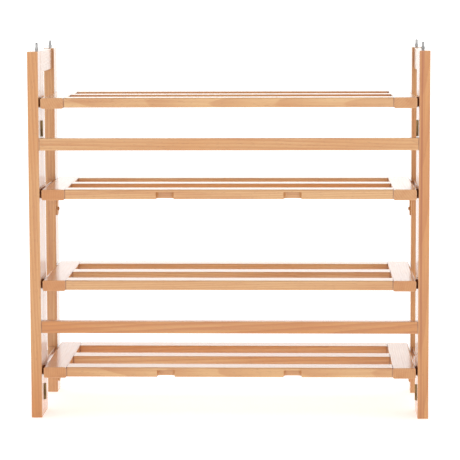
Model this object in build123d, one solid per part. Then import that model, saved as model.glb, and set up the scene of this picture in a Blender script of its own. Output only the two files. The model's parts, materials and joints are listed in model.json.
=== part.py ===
from build123d import *
import os

# Tiered shoe rack: a railed back frame, two hinged side frames and four slatted shelves
# that swing up about pins in the posts.
# Millimetres, +Z up. The origin is on the floor at the centre of the footprint.
# -Y is the railed side, +Y is the open side that shoes go in from, and +X is to the right
# as seen from the railed side. Depths are counted from the railed face towards +Y.

# ---- driving dimensions ----
WIDTH = 740.0
DEPTH = 295.0
HEIGHT = 683.0

UPRIGHT_THICK = 20.0           # posts and stiles, across the rack
POST_DEPTH = 40.0
STILE_DEPTH = 46.0
HINGE_GAP = 1.0                # between a post and the stile hinged to it
UPRIGHT_ROUND = 1.0
UPRIGHT_END_ROUND = 0.6

RAIL_THICK = 18.0
RAIL_HEIGHT = 22.6
RAIL_BOTTOMS = {"upper": 500.8, "lower": 159.9}
RAIL_ROUND = 1.0

SIDE_RAIL_THICK = 12.0
SIDE_RAIL_RECESS = 4.0         # from the inner face of the stiles
SIDE_RAILS = {"top": (642.4, 40.0), "middle": (401.1, RAIL_HEIGHT), "bottom": (69.0, RAIL_HEIGHT)}
SIDE_RAIL_ROUND = 1.5

SHELF_TOPS = {1: 598.0, 2: 428.5, 3: 259.0, 4: 95.5}
SHELF_DEPTH = 280.0
SHELF_SIDE_GAP = 3.5           # between a shelf and each post
END_WIDTH = 42.6
END_THICK = 20.0
END_ROUND = 3.5
END_TIP_ROUND = 1.0
SLAT_WIDTH = 42.0
SLAT_THICK = 18.0
SLAT_ROUND = 2.5
SLAT_NAMES = ("rail_side", "middle", "open_side")

PIVOT_DEPTH = 30.0
PIVOT_RADIUS = 3.0
PIVOT_CLEARANCE = 0.05
PIVOT_IN_WOOD = 14.0
WASHER_RADIUS = 9.0
WASHER_THICK = 2.9
SUPPORT_GAP = 0.3              # under a shelf that rests on a pin or a bracket

# Cut-outs of the two shelves that fold flat between the rails and the side frames
FOLDING_SHELVES = (2, 4)
NOTCH_OFFSET = 118.0
NOTCH_WIDTH = 33.0
NOTCH_HEIGHT = 13.0
NOTCH_REACH = 20.0
NOTCH_CORNER = 8.0
KNUCKLE_NOTCH_SHELF = 2
KNUCKLE_NOTCH_START = 128.0
KNUCKLE_NOTCH_LENGTH = 54.0
KNUCKLE_NOTCH_DEEP = 3.0

DOWEL_RADIUS = 3.0
DOWEL_IN_WOOD = 12.0
SLAT_DOWEL_OFFSET = 11.0
TOP_RAIL_DOWEL_OFFSET = 11.0
RAIL_DOWEL_OFFSET = 5.5

HINGE_HEIGHT = 30.0
HINGE_BOTTOMS = {"upper": 524.0, "lower": 27.5}
HINGE_LEAF_WIDTH = 16.0
HINGE_LEAF_THICK = 1.2
HINGE_AXIS_PROUD = 0.5         # from the inner face of the uprights
KNUCKLE_RADIUS = 2.6
KNUCKLE_CLEARANCE = 0.3
HINGE_PIN_RADIUS = 1.2
HINGE_PIN_CLEARANCE = 0.05
HINGE_SCREW_OFFSET = 7.5
SCREW_RADIUS = 1.5
SCREW_LENGTH = 13.0
SCREW_HEAD_RADIUS = 2.8
SCREW_HEAD_HEIGHT = 1.1
SCREW_RECESS = (1.5, 0.7, 0.9)        # reach of each arm, width and depth of the driver recess

BRACKET_DEPTH = 272.0          # middle of the bracket, from the railed face
BRACKET_WIDTH = 22.0
BRACKET_DROP = 56.0
BRACKET_THICK = 2.0
BRACKET_LEDGE = 14.0
BRACKET_CORNER = 4.0
BRACKET_SCREW_DROPS = (17.0, 43.5)
PAN_HEAD_RADIUS = 3.6
PAN_HEAD_HEIGHT = 2.6
PAN_HEAD_ROUND = 1.4
PAN_RECESS = (1.9, 0.9, 1.6)

REST_PIN_DEPTH = 271.0
REST_PIN_IN_WOOD = 12.0
REST_PIN_REACH = 14.0
REST_PIN_RADIUS = 3.0

STACK_PIN_PROUD = 15.0
STACK_PIN_IN_WOOD = 15.0
STACK_SHANK_RADIUS = 2.7
STACK_COLLAR_RADIUS = 3.4
STACK_COLLAR_HEIGHTS = (1.5, 6.0)     # above the top of the stile
STACK_COLLAR_CHAMFER = 0.6
STACK_TIP_RADIUS = 2.4
STACK_TIP_ROUND = 1.8
SOCKET_RADIUS = 3.6
SOCKET_DEEP = 16.0

# ---- sizes that follow from them ----
OUTER_X = WIDTH / 2
INNER_X = OUTER_X - UPRIGHT_THICK
SHELF_X = INNER_X - SHELF_SIDE_GAP
SLAT_END_X = SHELF_X - END_WIDTH
RAIL_SIDE_Y = -DEPTH / 2
HINGED_STILE_START = POST_DEPTH + HINGE_GAP
HINGED_STILE_END = HINGED_STILE_START + STILE_DEPTH
OPEN_STILE_START = DEPTH - STILE_DEPTH
HINGE_AXIS_DEPTH = POST_DEPTH + HINGE_GAP / 2
HINGE_AXIS_X = INNER_X - HINGE_AXIS_PROUD
STILE_MIDDLES = (HINGED_STILE_START + STILE_DEPTH / 2, DEPTH - STILE_DEPTH / 2)
SLAT_STARTS = [i * (SHELF_DEPTH - SLAT_WIDTH) / 2 for i in range(3)]
SIDES = {"left": -1, "right": 1}


def y_at(depth):
    """The Y coordinate at a depth behind the railed face."""
    return RAIL_SIDE_Y + depth


def block(x, depth, z):
    """A plain box between two limits in X, two depths and two heights."""
    low = (min(x), y_at(min(depth)), min(z))
    size = (max(x) - min(x), max(depth) - min(depth), max(z) - min(z))
    return Pos(*low) * Box(*size, align=(Align.MIN, Align.MIN, Align.MIN))


def timber(x, depth, z, radius, along):
    """A length of timber with its four long edges rounded."""
    piece = block(x, depth, z)
    return fillet(piece.edges().filter_by(along), radius)


def eased_ends(piece, along, radius):
    """The same timber with the edges of its two end faces rounded too."""
    faces = piece.faces().sort_by(along)
    return fillet(faces[0].edges() + faces[-1].edges(), radius)


def rod(radius, start, direction, length):
    """A round bar that starts at a point and runs along a direction."""
    plane = Plane(origin=start, z_dir=direction)
    return plane * Cylinder(radius, length, align=(Align.CENTER, Align.CENTER, Align.MIN))


def group(solids):
    """Separate solids that share one node."""
    return Compound(children=[s.solid() for s in solids])


def dowel_across(x, depth, z, sign):
    """A dowel along X, half each side of the joint at x."""
    start = (x - sign * DOWEL_IN_WOOD, y_at(depth), z)
    return rod(DOWEL_RADIUS, start, (sign, 0, 0), 2 * DOWEL_IN_WOOD)


def dowel_along(x, depth, z):
    """A dowel along Y, half each side of the joint at depth."""
    start = (x, y_at(depth - DOWEL_IN_WOOD), z)
    return rod(DOWEL_RADIUS, start, (0, 1, 0), 2 * DOWEL_IN_WOOD)


# ---- fittings ----
def countersunk_screw(x, depth, z, sign):
    """A countersunk wood screw driven outwards (towards the sign of X) from a face at x."""
    head = Plane(origin=(x, y_at(depth), z), z_dir=(sign, 0, 0)) * Cone(
        SCREW_HEAD_RADIUS, SCREW_RADIUS, SCREW_HEAD_HEIGHT,
        align=(Align.CENTER, Align.CENTER, Align.MIN))
    return head + rod(SCREW_RADIUS, (x, y_at(depth), z), (sign, 0, 0), SCREW_LENGTH)


def pan_screw(x, depth, z, sign):
    """A round-headed wood screw whose head stands on a face at x."""
    start = (x - sign * PAN_HEAD_HEIGHT, y_at(depth), z)
    head = rod(PAN_HEAD_RADIUS, start, (sign, 0, 0), PAN_HEAD_HEIGHT)
    rim = head.edges().filter_by(GeomType.CIRCLE).sort_by(Axis.X, reverse=(sign < 0))[0]
    return fillet(rim, PAN_HEAD_ROUND) + rod(SCREW_RADIUS, (x, y_at(depth), z), (sign, 0, 0), SCREW_LENGTH)


def recessed(screw, sign, recess):
    """A screw driven towards the sign of X, with a cross-shaped driver recess in its head."""
    reach, width, deep = recess
    box = screw.bounding_box()
    head_x = box.min.X if sign > 0 else box.max.X
    centre = Pos(head_x + sign * deep / 2, box.center().Y, box.center().Z)
    return screw - centre * Box(deep, 2 * reach, width) - centre * Box(deep, width, 2 * reach)


def hinge_screws(sign, bottom):
    """The four countersunk screws of one hinge, two in each leaf."""
    reach = HINGE_LEAF_WIDTH / 2 + KNUCKLE_RADIUS / 2
    heights = [bottom + HINGE_HEIGHT / 2 + k * HINGE_SCREW_OFFSET for k in (-1, 1)]
    return [countersunk_screw(sign * INNER_X, HINGE_AXIS_DEPTH + k * reach, z, sign)
            for k in (-1, 1) for z in heights]


def hinge_axis_rod(sign, radius, bottom, height):
    """A rod on the hinge axis."""
    return rod(radius, (sign * HINGE_AXIS_X, y_at(HINGE_AXIS_DEPTH), bottom), (0, 0, 1), height)


def hinge_leaf(sign, bottom, side, knuckles):
    """One leaf of a butt hinge. side is -1 for the post and 1 for the stile, and knuckles
    numbers the thirds of the height whose knuckle belongs to this leaf."""
    third = HINGE_HEIGHT / 3
    face = sign * INNER_X
    back = face + sign * HINGE_LEAF_THICK
    far = HINGE_AXIS_DEPTH + side * HINGE_LEAF_WIDTH
    leaf = block((face, back), (HINGE_AXIS_DEPTH, far), (bottom, bottom + HINGE_HEIGHT))
    leaf -= hinge_axis_rod(sign, KNUCKLE_RADIUS + KNUCKLE_CLEARANCE, bottom, HINGE_HEIGHT)
    for k in knuckles:
        low = bottom + k * third + KNUCKLE_CLEARANCE / 2
        high = bottom + (k + 1) * third - KNUCKLE_CLEARANCE / 2
        neck_end = HINGE_AXIS_DEPTH + side * (KNUCKLE_RADIUS + 2 * KNUCKLE_CLEARANCE)
        leaf += block((face, back), (HINGE_AXIS_DEPTH, neck_end), (low, high))
        leaf += hinge_axis_rod(sign, KNUCKLE_RADIUS, low, high - low)
    leaf -= hinge_axis_rod(sign, HINGE_PIN_RADIUS + HINGE_PIN_CLEARANCE, bottom, HINGE_HEIGHT)
    for screw in hinge_screws(sign, bottom):
        leaf -= screw
    return leaf


def hinge_recess(sign, bottom):
    """The wood taken out of a post and a stile for one hinge and its screws."""
    face = sign * INNER_X
    leaves = block((face, face + sign * HINGE_LEAF_THICK),
                   (HINGE_AXIS_DEPTH - HINGE_LEAF_WIDTH, HINGE_AXIS_DEPTH + HINGE_LEAF_WIDTH),
                   (bottom, bottom + HINGE_HEIGHT))
    recess = leaves + hinge_axis_rod(sign, KNUCKLE_RADIUS + KNUCKLE_CLEARANCE, bottom, HINGE_HEIGHT)
    for screw in hinge_screws(sign, bottom):
        recess += screw
    return recess


def bracket_screws(sign, shelf_bottom):
    """The two round-headed screws of one shelf bracket."""
    face = sign * (INNER_X - BRACKET_THICK)
    return [pan_screw(face, BRACKET_DEPTH, shelf_bottom - drop, sign) for drop in BRACKET_SCREW_DROPS]


def bracket(sign, shelf_bottom):
    """An angle bracket on the open-side stile with a ledge under the end of a shelf."""
    face = sign * INNER_X
    front = face - sign * BRACKET_THICK
    depths = (BRACKET_DEPTH - BRACKET_WIDTH / 2, BRACKET_DEPTH + BRACKET_WIDTH / 2)
    top = shelf_bottom - SUPPORT_GAP
    plate = block((face, front), depths, (shelf_bottom - BRACKET_DROP, top))
    corners = plate.edges().filter_by(Axis.X).group_by(Axis.Z)[0]
    plate = fillet(corners, BRACKET_CORNER)
    ledge = block((face, face - sign * BRACKET_LEDGE), depths, (top - BRACKET_THICK, top))
    corners = ledge.edges().filter_by(Axis.Z).sort_by(Axis.X, reverse=(sign < 0))[:2]
    plate += fillet(corners, BRACKET_CORNER)
    for screw in bracket_screws(sign, shelf_bottom):
        plate -= screw
    return plate


def pivot_pin(sign, shelf):
    """The steel pin that a shelf turns on, from the post into the end board."""
    z = SHELF_TOPS[shelf] - END_THICK / 2
    start = (sign * (SHELF_X - PIVOT_IN_WOOD), y_at(PIVOT_DEPTH), z)
    return rod(PIVOT_RADIUS, start, (sign, 0, 0), SHELF_SIDE_GAP + 2 * PIVOT_IN_WOOD)


def pivot_washer(sign, shelf):
    """The fibre washer that fills the gap between a post and an end board."""
    z = SHELF_TOPS[shelf] - END_THICK / 2
    start = (sign * (INNER_X - WASHER_THICK), y_at(PIVOT_DEPTH), z)
    return rod(WASHER_RADIUS, start, (sign, 0, 0), WASHER_THICK) - pivot_pin(sign, shelf)


def rest_pin(sign, shelf):
    """The pin in an open-side stile that a shelf without a bracket rests on."""
    z = SHELF_TOPS[shelf] - END_THICK - SUPPORT_GAP - REST_PIN_RADIUS
    start = (sign * (INNER_X - REST_PIN_REACH), y_at(REST_PIN_DEPTH), z)
    return rod(REST_PIN_RADIUS, start, (sign, 0, 0), REST_PIN_REACH + REST_PIN_IN_WOOD)


def stacking_pin(sign, depth):
    """A collared pin on top of a stile that a second rack stands on."""
    x, y = sign * (OUTER_X - UPRIGHT_THICK / 2), y_at(depth)
    foot, top = HEIGHT - STACK_PIN_IN_WOOD, HEIGHT + STACK_PIN_PROUD
    low, high = [HEIGHT + z for z in STACK_COLLAR_HEIGHTS]
    shank = rod(STACK_SHANK_RADIUS, (x, y, foot), (0, 0, 1), low - foot)
    collar = rod(STACK_COLLAR_RADIUS, (x, y, low), (0, 0, 1), high - low)
    collar = chamfer(collar.edges().filter_by(GeomType.CIRCLE), STACK_COLLAR_CHAMFER)
    tip = rod(STACK_TIP_RADIUS, (x, y, high), (0, 0, 1), top - high)
    tip = fillet(tip.edges().group_by(Axis.Z)[-1], STACK_TIP_ROUND)
    return shank + collar + tip


# ---- timber ----
def post(sign):
    """An upright of the railed frame, bored for the pivot pins and rail dowels."""
    piece = timber((sign * INNER_X, sign * OUTER_X), (0, POST_DEPTH), (0, HEIGHT), UPRIGHT_ROUND, Axis.Z)
    piece = eased_ends(piece, Axis.Z, UPRIGHT_END_ROUND)
    for shelf in SHELF_TOPS:
        piece -= pivot_pin(sign, shelf)
    for dowel in rail_dowels(sign):
        piece -= dowel
    for bottom in HINGE_BOTTOMS.values():
        piece -= hinge_recess(sign, bottom)
    return piece


def rail_dowels(sign):
    """The dowels that join both back rails to one post."""
    middles = [bottom + RAIL_HEIGHT / 2 for bottom in RAIL_BOTTOMS.values()]
    return [dowel_across(sign * INNER_X, RAIL_THICK / 2, z + k * RAIL_DOWEL_OFFSET, sign)
            for z in middles for k in (-1, 1)]


def back_rail(bottom):
    """A rail between the two posts, flush with their outer face."""
    piece = timber((-INNER_X, INNER_X), (0, RAIL_THICK), (bottom, bottom + RAIL_HEIGHT), RAIL_ROUND, Axis.X)
    for sign in SIDES.values():
        for dowel in rail_dowels(sign):
            piece -= dowel
    return piece


def side_rail_dowels(sign):
    """The dowels that join the rails of one side frame to its two stiles."""
    x = sign * (INNER_X + SIDE_RAIL_RECESS + SIDE_RAIL_THICK / 2)
    dowels = []
    for name, (bottom, height) in SIDE_RAILS.items():
        offset = TOP_RAIL_DOWEL_OFFSET if name == "top" else RAIL_DOWEL_OFFSET
        for depth in (HINGED_STILE_END, OPEN_STILE_START):
            dowels += [dowel_along(x, depth, bottom + height / 2 + k * offset) for k in (-1, 1)]
    return dowels


def side_rail(sign, bottom, height):
    """A rail of a side frame, set back from the inner face of the stiles."""
    inner = sign * (INNER_X + SIDE_RAIL_RECESS)
    piece = timber((inner, inner + sign * SIDE_RAIL_THICK), (HINGED_STILE_END, OPEN_STILE_START),
                   (bottom, bottom + height), SIDE_RAIL_ROUND, Axis.Y)
    for dowel in side_rail_dowels(sign):
        piece -= dowel
    return piece


def stile(sign, start, fittings):
    """An upright of a side frame, with a socket in its foot and a stacking pin in its top."""
    piece = timber((sign * INNER_X, sign * OUTER_X), (start, start + STILE_DEPTH), (0, HEIGHT),
                   UPRIGHT_ROUND, Axis.Z)
    piece = eased_ends(piece, Axis.Z, UPRIGHT_END_ROUND)
    middle = start + STILE_DEPTH / 2
    foot = (sign * (OUTER_X - UPRIGHT_THICK / 2), y_at(middle), 0)
    piece -= rod(SOCKET_RADIUS, foot, (0, 0, 1), SOCKET_DEEP)
    piece -= stacking_pin(sign, middle)
    for cut in side_rail_dowels(sign) + fittings:
        piece -= cut
    return piece


def hinged_stile(sign):
    """The stile hinged to the post."""
    return stile(sign, HINGED_STILE_START, [hinge_recess(sign, z) for z in HINGE_BOTTOMS.values()])


def open_stile(sign):
    """The stile at the open side, which carries that end of every shelf."""
    fittings = []
    for shelf, top in SHELF_TOPS.items():
        if shelf in FOLDING_SHELVES:
            fittings += bracket_screws(sign, top - END_THICK)
        else:
            fittings.append(rest_pin(sign, shelf))
    return stile(sign, OPEN_STILE_START, fittings)


# ---- shelves ----
def slat_dowels(shelf):
    """The dowels that join the three slats of a shelf to its end boards."""
    z = SHELF_TOPS[shelf] - SLAT_THICK / 2
    return [dowel_across(sign * SLAT_END_X, start + SLAT_WIDTH / 2 + k * SLAT_DOWEL_OFFSET, z, sign)
            for sign in SIDES.values() for start in SLAT_STARTS for k in (-1, 1)]


def end_board(sign, shelf):
    """The board across one end of a shelf, bored for its pivot pin."""
    top = SHELF_TOPS[shelf]
    piece = timber((sign * SLAT_END_X, sign * SHELF_X), (0, SHELF_DEPTH), (top - END_THICK, top),
                   END_ROUND, Axis.Y)
    piece = eased_ends(piece, Axis.Y, END_TIP_ROUND)
    hole = (sign * (SHELF_X - PIVOT_IN_WOOD), y_at(PIVOT_DEPTH), top - END_THICK / 2)
    piece -= rod(PIVOT_RADIUS + PIVOT_CLEARANCE, hole, (sign, 0, 0), PIVOT_IN_WOOD)
    for dowel in slat_dowels(shelf):
        piece -= dowel
    if shelf == KNUCKLE_NOTCH_SHELF:
        piece -= block((sign * SHELF_X, sign * (SHELF_X - KNUCKLE_NOTCH_DEEP)),
                       (KNUCKLE_NOTCH_START, KNUCKLE_NOTCH_START + KNUCKLE_NOTCH_LENGTH),
                       (top - END_THICK, top))
    return piece


def slat(shelf, start):
    """A slat between the end boards, flush with their tops."""
    top = SHELF_TOPS[shelf]
    bottom = top - SLAT_THICK
    piece = timber((-SLAT_END_X, SLAT_END_X), (start, start + SLAT_WIDTH), (bottom, top), SLAT_ROUND, Axis.X)
    for dowel in slat_dowels(shelf):
        piece -= dowel
    if shelf in FOLDING_SHELVES and start == SLAT_STARTS[0]:
        for sign in SIDES.values():
            middle = sign * NOTCH_OFFSET
            notch = block((middle - NOTCH_WIDTH / 2, middle + NOTCH_WIDTH / 2), (0, NOTCH_REACH),
                          (bottom, bottom + NOTCH_HEIGHT))
            corners = notch.edges().filter_by(Axis.Z).group_by(Axis.Y)[-1]
            piece -= fillet(corners, NOTCH_CORNER)
    return piece


# ---- the whole rack, one entry for each node ----
nodes = {}
for name, bottom in RAIL_BOTTOMS.items():
    nodes[f"back_rail_{name}"] = back_rail(bottom)

for side, sign in SIDES.items():
    nodes[f"post_{side}"] = post(sign)
    nodes[f"stile_hinged_{side}"] = hinged_stile(sign)
    nodes[f"stile_open_{side}"] = open_stile(sign)
    for name, (bottom, height) in SIDE_RAILS.items():
        nodes[f"side_rail_{name}_{side}"] = side_rail(sign, bottom, height)
    for name, bottom in HINGE_BOTTOMS.items():
        nodes[f"hinge_{name}_{side}_post_leaf"] = hinge_leaf(sign, bottom, -1, (0, 2))
        nodes[f"hinge_{name}_{side}_stile_leaf"] = hinge_leaf(sign, bottom, 1, (1,))
    for shelf in FOLDING_SHELVES:
        nodes[f"bracket_shelf_{shelf}_{side}"] = bracket(sign, SHELF_TOPS[shelf] - END_THICK)

for shelf in SHELF_TOPS:
    for side, sign in SIDES.items():
        nodes[f"shelf_{shelf}_end_{side}"] = end_board(sign, shelf)
    for name, start in zip(SLAT_NAMES, SLAT_STARTS):
        nodes[f"shelf_{shelf}_slat_{name}"] = slat(shelf, start)
    nodes[f"shelf_{shelf}_dowels"] = group(slat_dowels(shelf))

SIGNS = tuple(SIDES.values())
nodes["frame_dowels"] = group([d for s in SIGNS for d in rail_dowels(s) + side_rail_dowels(s)])
nodes["hinge_pins"] = group([hinge_axis_rod(s, HINGE_PIN_RADIUS, z, HINGE_HEIGHT)
                             for s in SIGNS for z in HINGE_BOTTOMS.values()])
nodes["hinge_screws"] = group([recessed(screw, s, SCREW_RECESS) for s in SIGNS
                               for z in HINGE_BOTTOMS.values() for screw in hinge_screws(s, z)])
nodes["bracket_screws"] = group([recessed(screw, s, PAN_RECESS) for s in SIGNS for shelf in FOLDING_SHELVES
                                 for screw in bracket_screws(s, SHELF_TOPS[shelf] - END_THICK)])
nodes["pivot_pins"] = group([pivot_pin(s, shelf) for s in SIGNS for shelf in SHELF_TOPS])
nodes["pivot_washers"] = group([pivot_washer(s, shelf) for s in SIGNS for shelf in SHELF_TOPS])
nodes["shelf_rest_pins"] = group([rest_pin(s, shelf) for s in SIGNS for shelf in SHELF_TOPS
                                  if shelf not in FOLDING_SHELVES])
nodes["stacking_pins"] = group([stacking_pin(s, depth) for s in SIGNS for depth in STILE_MIDDLES])

os.makedirs("parts", exist_ok=True)
for name, shape in nodes.items():
    export_step(shape, f"parts/{name}.step")
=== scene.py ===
import json
import math
import random

import bpy
from mathutils import Euler, Matrix, Vector


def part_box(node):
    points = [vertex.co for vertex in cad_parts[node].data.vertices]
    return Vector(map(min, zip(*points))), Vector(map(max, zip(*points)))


# Looks, light and camera of the tiered shoe rack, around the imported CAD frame.
# Metres, +Z up. -Y is the railed side, +Y the open side, +X to the right as seen from the railed side.

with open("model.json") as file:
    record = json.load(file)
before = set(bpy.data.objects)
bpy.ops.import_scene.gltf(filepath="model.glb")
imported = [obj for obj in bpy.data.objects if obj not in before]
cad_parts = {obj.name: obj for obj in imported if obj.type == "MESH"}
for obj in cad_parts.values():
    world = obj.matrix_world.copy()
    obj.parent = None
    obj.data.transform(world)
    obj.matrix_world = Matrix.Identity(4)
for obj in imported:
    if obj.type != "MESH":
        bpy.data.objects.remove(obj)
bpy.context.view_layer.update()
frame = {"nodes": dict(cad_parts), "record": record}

# ---- wood colours, linear ----
PALE = (0.720, 0.435, 0.195, 1)
WARM = (0.600, 0.228, 0.044, 1)
LATE = (0.480, 0.160, 0.036, 1)        # the dark line that closes each growth ring
STREAK = (0.400, 0.110, 0.030, 1)      # mineral streaks
PORE = (0.300, 0.115, 0.042, 1)
END = (0.520, 0.205, 0.060, 1)         # end grain drinks more lacquer
JOINT_SHADE = (0.260, 0.078, 0.024, 1)        # painted shade: a dark line where a rail or slat meets the piece it is doweled to, standing for the shadow in the joint
WORN = (0.830, 0.560, 0.330, 1)        # where handling has thinned the lacquer on an edge

# ---- metal colours, and the dark fibre of the washers that paints the shade in the gap by the posts, linear, each from darkest to brightest ----
AGED_BRASS = (0.120, 0.070, 0.028, 1), (0.340, 0.225, 0.090, 1)     # hinges
FRESH_BRASS = (0.430, 0.200, 0.070, 1), (0.680, 0.370, 0.150, 1)    # brackets and their screws
BRASS_PIT = (0.040, 0.024, 0.012, 1)
ZINC = (0.300, 0.302, 0.308, 1), (0.560, 0.562, 0.558, 1)
# dark brown of the washers, painted shade for the shadowed gap between each post and shelf end board
GAP_SHADE_FIBRE = (0.095, 0.026, 0.010, 1), (0.180, 0.052, 0.018, 1)

# ---- how the wood is drawn, in metres ----
RING_SPACING = 0.0042
RING_WANDER = 0.010
PITH_NEAR, PITH_FAR = 0.035, 0.110     # from the middle of a piece to the pith
GRAIN_TILT = 0.035                     # metres sideways for each metre along
WEAR_WIDTH = 0.0022
# width of the painted shadow line at the joints of rails and slats
JOINT_SHADE_WIDTH = 0.0026
BOARD_SPREAD = 3.0                     # how far apart the pieces lie in the noise
STREAK_DRIFT = 0.008

# ---- noise in the wood, in repeats per metre: twice across the grain, then along it ----
SWAY_REPEATS = (9.0, 9.0, 2.4)
FIBRE_REPEATS = (620.0, 620.0, 16.0)
FLAME_REPEATS = (75.0, 75.0, 3.2)
PORE_REPEATS = (1500.0, 1500.0, 95.0)
CLOUD_REPEATS = (14.0, 14.0, 2.6)
STREAK_REPEATS = (120.0, 120.0, 2.0)
RUB_REPEATS = (60.0, 60.0, 25.0)
SKIN_REPEATS = (95.0, 95.0, 30.0)

# ---- how much of each colour shows, from 0 to 1 ----
TONE_SPREAD = 0.28
FLAME_SHARE = 0.45
FIBRE_SHARE = 0.22
PORE_SHARE = 0.55
END_SHARE = 0.42
WORN_SHARE = 0.38

# ---- lacquer ----
COAT_ROUGHNESS = 0.17
COAT_IOR = 1.5
GRAIN_RELIEF = (0.30, 0.00035)         # strength of the bump, and its depth in metres
SKIN_RELIEF = (0.22, 0.0006)

# How warm a piece is, from 0 (pale) to 1, where it stands out from the others
TONES = {
    "post_left": 0.72, "post_right": 0.95,
    "back_rail_upper": 0.40, "back_rail_lower": 0.88,
    "stile_open_left": 0.10, "stile_open_right": 0.15,
    "shelf_1_end_left": 0.05, "shelf_1_end_right": 0.15,
    "shelf_3_end_left": 0.90, "shelf_3_end_right": 0.80, "shelf_4_end_left": 0.80,
    "shelf_1_slat_rail_side": 0.15, "shelf_2_slat_rail_side": 0.0,
    "shelf_3_slat_rail_side": 0.0, "shelf_4_slat_rail_side": 0.05,
    # partly painted light: the palest middle and open-side slats are set pale to lift the shade they sit
    # in, behind the front slats and under the shelf above
    "shelf_1_slat_middle": 0.60, "shelf_2_slat_middle": 0.60,
    "shelf_3_slat_middle": 0.0, "shelf_4_slat_middle": 0.18,
    "shelf_2_slat_open_side": 0.05, "shelf_3_slat_open_side": 0.15,
    "shelf_4_slat_open_side": 0.45,
}
# How strongly the growth rings and the mineral streaks show
FIGURES = {"back_rail_lower": (0.60, 0.25), "post_right": (0.45, 0.70)}
PLAIN_FIGURE = (0.38, 0.12)
# A single dark streak down a piece: how far across from its centre, and how far it fades to each side
HEART_STREAKS = {"post_right": (-0.0048, 0.0032)}


class Shader:
    """A material's node tree, with one short call for each kind of node."""

    def __init__(self, name):
        self.material = bpy.data.materials.new(name)
        self.material.use_nodes = True
        self.tree = self.material.node_tree
        self.tree.nodes.clear()

    def node(self, kind, inputs=(), **settings):
        made = self.tree.nodes.new(kind)
        for key, value in settings.items():
            setattr(made, key, value)
        for socket, value in dict(inputs).items():
            if isinstance(value, bpy.types.NodeSocket):
                self.tree.links.new(value, made.inputs[socket])
            else:
                made.inputs[socket].default_value = value
        return made

    def math(self, operation, *values):
        return self.node("ShaderNodeMath", enumerate(values), operation=operation).outputs[0]

    def vector(self, operation, *values):
        return self.node("ShaderNodeVectorMath", enumerate(values), operation=operation).outputs["Vector"]

    def length(self, value):
        return self.node("ShaderNodeVectorMath", {0: value}, operation="LENGTH").outputs["Value"]

    def split(self, value):
        return list(self.node("ShaderNodeSeparateXYZ", {0: value}).outputs)

    def join(self, x, y, z):
        return self.node("ShaderNodeCombineXYZ", {0: x, 1: y, 2: z}).outputs[0]

    def noise(self, place, repeats, detail=2.0, roughness=0.5):
        """Noise from 0 to 1 with its own number of repeats per metre on each axis."""
        spot = self.vector("MULTIPLY", place, repeats)
        made = self.node("ShaderNodeTexNoise", {"Vector": spot, "Scale": 1.0, "Detail": detail,
                                                "Roughness": roughness})
        return made.outputs["Fac"]

    def ramp(self, value, low, high, to_low=0.0, to_high=1.0):
        made = self.node("ShaderNodeMapRange", {0: value, 1: low, 2: high, 3: to_low, 4: to_high},
                         interpolation_type="SMOOTHSTEP")
        return made.outputs[0]

    def mix(self, amount, a, b):
        made = self.node("ShaderNodeMix", {0: amount, 6: a, 7: b}, data_type="RGBA")
        return made.outputs[2]

    def bump(self, height, strength, distance):
        made = self.node("ShaderNodeBump", {"Height": height, "Strength": strength, "Distance": distance})
        return made.outputs["Normal"]

    def finish(self, **sockets):
        """Ends the tree in one Principled shader with these inputs, and returns the material."""
        inputs = {key.replace("_", " "): value for key, value in sockets.items()}
        shader = self.node("ShaderNodeBsdfPrincipled", inputs)
        self.node("ShaderNodeOutputMaterial", {"Surface": shader.outputs[0]})
        return self.material


def edge_mask(shader, place, half, width):
    """1 on the edges of a box-shaped piece, 0 away from them."""
    inside = shader.vector("SUBTRACT", tuple(half), shader.vector("ABSOLUTE", place))
    x, y, z = shader.split(inside)
    second = shader.math("MAXIMUM", shader.math("MINIMUM", x, y),
                         shader.math("MINIMUM", shader.math("MAXIMUM", x, y), z))
    return shader.ramp(second, 0.0, width, 1.0, 0.0)


def growth_rings(s, run, across, side, sway, draw):
    """Rings round a pith that lies outside the piece and leans a little along it."""
    angle = draw.uniform(0, 2 * math.pi)
    reach = draw.uniform(PITH_NEAR, PITH_FAR)
    lean = [draw.uniform(-GRAIN_TILT, GRAIN_TILT) for _ in range(2)]
    u = s.math("ADD", s.math("MULTIPLY_ADD", run, lean[0], across), reach * math.cos(angle))
    v = s.math("ADD", s.math("MULTIPLY_ADD", run, lean[1], side), reach * math.sin(angle))
    radius = s.math("MULTIPLY_ADD", sway, RING_WANDER, s.length(s.join(u, v, 0.0)))
    phase = s.math("FRACT", s.math("DIVIDE", radius, RING_SPACING))
    return s.math("MULTIPLY", s.ramp(phase, 0.15, 0.92), s.ramp(phase, 1.0, 0.93))


def timber_colour(s, board, tone, figure, ring, fibre, flame, pore):
    """The colour of the wood along its length, before its ends and edges are treated."""
    ring_strength, streak_strength = figure
    cloud = s.noise(board, CLOUD_REPEATS, detail=2.0)
    streak = s.ramp(s.noise(board, STREAK_REPEATS, detail=2.0), 0.56, 0.70)
    warmth = s.ramp(cloud, 0.25, 0.75, max(tone - TONE_SPREAD, 0.0), min(tone + TONE_SPREAD, 1.0))
    colour = s.mix(warmth, PALE, WARM)
    colour = s.mix(s.ramp(flame, 0.42, 0.72, 0.0, FLAME_SHARE), colour, LATE)
    colour = s.mix(s.math("MULTIPLY", ring, ring_strength), colour, LATE)
    colour = s.mix(s.math("MULTIPLY", streak, streak_strength), colour, STREAK)
    colour = s.mix(s.ramp(fibre, 0.45, 0.75, 0.0, FIBRE_SHARE), colour, LATE)
    return s.mix(s.math("MULTIPLY", pore, PORE_SHARE), colour, PORE)


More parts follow.
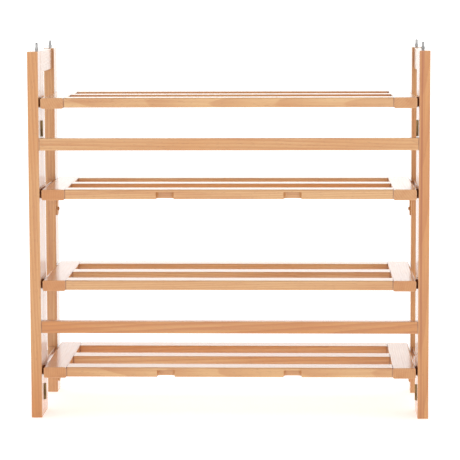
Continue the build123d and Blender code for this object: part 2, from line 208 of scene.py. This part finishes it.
def heart_streak(s, name, colour, across, sway, flame):
    """One dark streak down the length of a piece, wandering from side to side."""
    offset, fade = HEART_STREAKS[name]
    drift = s.math("MULTIPLY_ADD", sway, STREAK_DRIFT, -STREAK_DRIFT / 2 - offset)
    gap = s.math("ABSOLUTE", s.math("ADD", across, drift))
    strong = s.ramp(flame, 0.30, 0.60, 0.35, 0.85)
    return s.mix(s.math("MULTIPLY", s.ramp(gap, 0.0, fade, 1.0, 0.0), strong), colour, STREAK)


def wood(name, box, along, tone, figure):
    """Lacquered rubberwood. along is the axis (0, 1 or 2) that the grain of this piece follows."""
    draw = random.Random(name)
    low, high = box
    centre, half = (low + high) / 2, (high - low) / 2
    s = Shader(f"wood_{name}")
    coords = s.node("ShaderNodeTexCoord").outputs
    place = s.vector("SUBTRACT", coords["Object"], tuple(centre))
    axes = s.split(place)
    run = axes.pop(along)
    across, side = axes
    spot = tuple(draw.uniform(-BOARD_SPREAD, BOARD_SPREAD) for _ in range(3))
    board = s.vector("ADD", s.join(across, side, run), spot)

    sway = s.noise(board, SWAY_REPEATS, detail=3.0)
    ring = growth_rings(s, run, across, side, sway, draw)
    fibre = s.noise(board, FIBRE_REPEATS, detail=4.0, roughness=0.65)
    flame = s.noise(board, FLAME_REPEATS, detail=3.0, roughness=0.6)
    pore = s.ramp(s.noise(board, PORE_REPEATS, detail=1.0), 0.66, 0.74)
    colour = timber_colour(s, board, tone, figure, ring, fibre, flame, pore)
    if name in HEART_STREAKS:
        colour = heart_streak(s, name, colour, across, sway, flame)
    # painted shade: the ends of rails and slats darken into a shadow line where they meet the pieces they
    # are doweled to
    if "rail" in name or "slat" in name:
        to_end = s.math("SUBTRACT", half[along], s.math("ABSOLUTE", run))
        colour = s.mix(s.ramp(to_end, 0.0, JOINT_SHADE_WIDTH, 1.0, 0.0), colour, JOINT_SHADE)

    # end grain, and lacquer thinned along the edges
    facing = s.math("ABSOLUTE", s.split(coords["Normal"])[along])
    end = s.ramp(facing, 0.75, 0.95)
    colour = s.mix(s.math("MULTIPLY", end, END_SHARE), colour, END)
    handled = s.ramp(s.noise(board, RUB_REPEATS), 0.3, 0.7)
    rub = s.math("MULTIPLY", edge_mask(s, place, half, WEAR_WIDTH), handled)
    colour = s.mix(s.math("MULTIPLY", rub, WORN_SHARE), colour, WORN)

    # open grain under the lacquer, and the slightly uneven skin of the lacquer itself
    roughness = s.math("MULTIPLY_ADD", end, 0.12, s.ramp(fibre, 0.3, 0.8, 0.34, 0.48))
    relief = s.math("SUBTRACT", s.math("MULTIPLY", fibre, 0.5), pore)
    relief = s.math("MULTIPLY_ADD", ring, -0.4, relief)
    skin = s.noise(board, SKIN_REPEATS, detail=2.0)
    return s.finish(Base_Color=colour, Roughness=roughness, Normal=s.bump(relief, *GRAIN_RELIEF),
                    Coat_Weight=1.0, Coat_Roughness=COAT_ROUGHNESS, Coat_IOR=COAT_IOR,
                    Coat_Normal=s.bump(skin, *SKIN_RELIEF))


def brass(name, dark, bright):
    """Dull brass plating that has darkened, brighter where it is rubbed."""
    s = Shader(name)
    place = s.node("ShaderNodeTexCoord").outputs["Object"]
    patina = s.noise(place, (130.0, 130.0, 90.0), detail=3.0, roughness=0.5)
    brushed = s.noise(place, (2600.0, 2600.0, 160.0), detail=2.0)
    pits = s.ramp(s.noise(place, (1400.0, 1400.0, 1400.0), detail=1.0), 0.66, 0.76)
    tarnish = s.math("MULTIPLY_ADD", brushed, 0.35, s.ramp(patina, 0.20, 0.80, 0.0, 0.65))
    colour = s.mix(tarnish, dark, bright)
    colour = s.mix(s.math("MULTIPLY", pits, 0.5), colour, BRASS_PIT)
    roughness = s.math("MULTIPLY_ADD", brushed, 0.14, s.ramp(patina, 0.3, 0.7, 0.40, 0.27))
    relief = s.math("MULTIPLY_ADD", pits, -0.7, s.math("MULTIPLY", brushed, 0.35))
    return s.finish(Base_Color=colour, Metallic=1.0, Roughness=roughness,
                    Normal=s.bump(relief, 0.3, 0.0002))


def zinc(name):
    """Zinc-plated turned steel: fine rings round it, and a slightly cloudy skin."""
    s = Shader(name)
    place = s.node("ShaderNodeTexCoord").outputs["Object"]
    cloud = s.noise(place, (180.0, 180.0, 180.0), detail=3.0)
    turned = s.noise(place, (60.0, 60.0, 3600.0), detail=1.0)
    colour = s.mix(s.ramp(cloud, 0.3, 0.7), *ZINC)
    roughness = s.math("MULTIPLY_ADD", turned, 0.16, s.ramp(cloud, 0.3, 0.7, 0.22, 0.34))
    return s.finish(Base_Color=colour, Metallic=1.0, Roughness=roughness,
                    Normal=s.bump(turned, 0.35, 0.00012))


def gap_shade_fibre_board(name):
    """Dark brown pressed fibre, matt and slightly mottled; its dark brown is painted shade for the
    shadowed gap between post and shelf end board.
    """
    s = Shader(name)
    place = s.node("ShaderNodeTexCoord").outputs["Object"]
    mottle = s.noise(place, (700.0, 700.0, 700.0), detail=4.0, roughness=0.7)
    hair = s.noise(place, (3000.0, 900.0, 900.0), detail=2.0)
    colour = s.mix(s.ramp(mottle, 0.35, 0.65), *GAP_SHADE_FIBRE)
    return s.finish(Base_Color=colour, Roughness=s.ramp(hair, 0.3, 0.7, 0.62, 0.85),
                    Specular_IOR_Level=0.25, Normal=s.bump(hair, 0.4, 0.0002))


def dress(node, material):
    """Gives a CAD node this material in place of its own."""
    slots = frame["nodes"][node].data.materials
    slots.clear()
    slots.append(material)


def grain_axis(node):
    """The axis of a piece's longest side, which its grain follows."""
    low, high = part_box(node)
    size = high - low
    return max(range(3), key=lambda i: size[i])


def dress_all():
    """A material of its own for each piece of wood, and shared ones for the metal and for the fibre
    washers, which are painted dark as the shade in the gap by the posts.
    """
    others = {"hinge_brass": brass("aged_brass", *AGED_BRASS), "pin_steel": zinc("zinc_steel"),
              "washer_fibre": gap_shade_fibre_board("washer_fibre")}
    fresh = brass("fresh_brass", *FRESH_BRASS)
    for part in frame["record"]["subparts"]:
        node, slot = part["node"], part["material_slot"]
        if slot in others:
            dress(node, fresh if node.startswith("bracket") else others[slot])
            continue
        tone = TONES.get(node, random.Random(f"{node} tone").uniform(0.25, 0.70))
        dress(node, wood(node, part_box(node), grain_axis(node), tone, FIGURES.get(node, PLAIN_FIGURE)))


# ---- floor, light and camera ----
FLOOR_REACH = 30.0
FLOOR_DROP = 0.0005                    # below the feet, so that the two never share a plane
FLOOR_SHADES = (0.930, 0.930, 0.930, 1), (0.960, 0.960, 0.958, 1)
FLOOR_PAINTED_GLOW = 0.58

# Brightness of the studio. Each: from and to along one axis of the sky, and the light at those two ends
ZENITH = (0.05, 0.75, 1.0, 0.55)
BACKDROP = (-0.10, 0.90, 0.0, 0.52)
STUDIO_WHITE = (1.0, 0.995, 0.985, 1)

SOFT_BOXES = {"key": (-0.9, -3.5, 1.5), "fill": (1.1, -3.5, 1.3)}
SOFT_BOX_TARGET = (0.0, 0.0, 0.35)
SOFT_BOX_SIZE = 1.2
SOFT_BOX_POWER = 7.0

CAMERA_PLACE = (0.129, -3.8765, 0.784)
CAMERA_DOWN, CAMERA_TURN, CAMERA_ROLL = 5.83, 1.94, -0.20      # degrees
LENS = 159.1
SENSOR = 36.0
LENS_SHIFT = -0.058
FAR_CLIP = 100.0


def floor():
    """A pale floor, large enough to fill any view, that glows as painted light to wash out the rack's
    shadow on it and to light the rack from below.
    """
    reach = FLOOR_REACH
    mesh = bpy.data.meshes.new("floor")
    corners = [(-reach, -reach, 0), (reach, -reach, 0), (reach, reach, 0), (-reach, reach, 0)]
    mesh.from_pydata(corners, [], [(0, 1, 2, 3)])
    s = Shader("floor")
    place = s.node("ShaderNodeTexCoord").outputs["Object"]
    shade = s.noise(place, (1.6, 1.6, 1.6), detail=2.0)
    colour = s.mix(shade, *FLOOR_SHADES)
    # painted light: the floor glows, washing out the rack's shadow on it and lighting the rack from below
    mesh.materials.append(s.finish(Base_Color=colour, Roughness=0.9, Specular_IOR_Level=0.1,
                                    Emission_Color=colour, Emission_Strength=FLOOR_PAINTED_GLOW))
    made = bpy.data.objects.new("floor", mesh)
    made.location.z = -FLOOR_DROP
    bpy.context.scene.collection.objects.link(made)


def surroundings():
    """A white studio, dimmer overhead and brighter towards the backdrop on the open side."""
    world = bpy.data.worlds.new("studio")
    bpy.context.scene.world = world
    world.use_nodes = True
    tree = world.node_tree
    tree.nodes.clear()
    coords = tree.nodes.new("ShaderNodeTexCoord")
    axes = tree.nodes.new("ShaderNodeSeparateXYZ")
    total = tree.nodes.new("ShaderNodeMath")
    back = tree.nodes.new("ShaderNodeBackground")
    out = tree.nodes.new("ShaderNodeOutputWorld")
    tree.links.new(coords.outputs["Generated"], axes.inputs[0])
    for i, (axis, limits) in enumerate((("Z", ZENITH), ("Y", BACKDROP))):
        part = tree.nodes.new("ShaderNodeMapRange")
        part.interpolation_type = "SMOOTHSTEP"
        tree.links.new(axes.outputs[axis], part.inputs["Value"])
        for socket, value in zip(("From Min", "From Max", "To Min", "To Max"), limits):
            part.inputs[socket].default_value = value
        tree.links.new(part.outputs[0], total.inputs[i])
    tree.links.new(total.outputs[0], back.inputs["Strength"])
    back.inputs["Color"].default_value = STUDIO_WHITE
    tree.links.new(back.outputs[0], out.inputs["Surface"])


def soft_box(name, place):
    """A square soft box at a place, turned towards the rack."""
    light = bpy.data.lights.new(name, "AREA")
    light.shape = "SQUARE"
    light.size = SOFT_BOX_SIZE
    light.energy = SOFT_BOX_POWER
    made = bpy.data.objects.new(name, light)
    made.location = place
    towards = Vector(SOFT_BOX_TARGET) - Vector(place)
    made.rotation_euler = towards.to_track_quat("-Z", "Y").to_euler()
    bpy.context.scene.collection.objects.link(made)


def camera():
    """Almost square on to the railed side, a little to the right and a little above the top."""
    lens = bpy.data.cameras.new("camera")
    lens.lens = LENS
    lens.sensor_width = SENSOR
    lens.shift_y = LENS_SHIFT
    lens.clip_end = FAR_CLIP
    made = bpy.data.objects.new("camera", lens)
    made.location = CAMERA_PLACE
    aim = Euler((math.radians(90 - CAMERA_DOWN), 0.0, math.radians(CAMERA_TURN))).to_matrix()
    roll = Matrix.Rotation(math.radians(CAMERA_ROLL), 3, "Z")
    made.rotation_euler = (aim @ roll).to_euler()
    bpy.context.scene.collection.objects.link(made)
    bpy.context.scene.camera = made


dress_all()
floor()
surroundings()
for soft_box_name, soft_box_place in SOFT_BOXES.items():
    soft_box(soft_box_name, soft_box_place)
camera()
bpy.context.scene.view_settings.view_transform = "Standard"
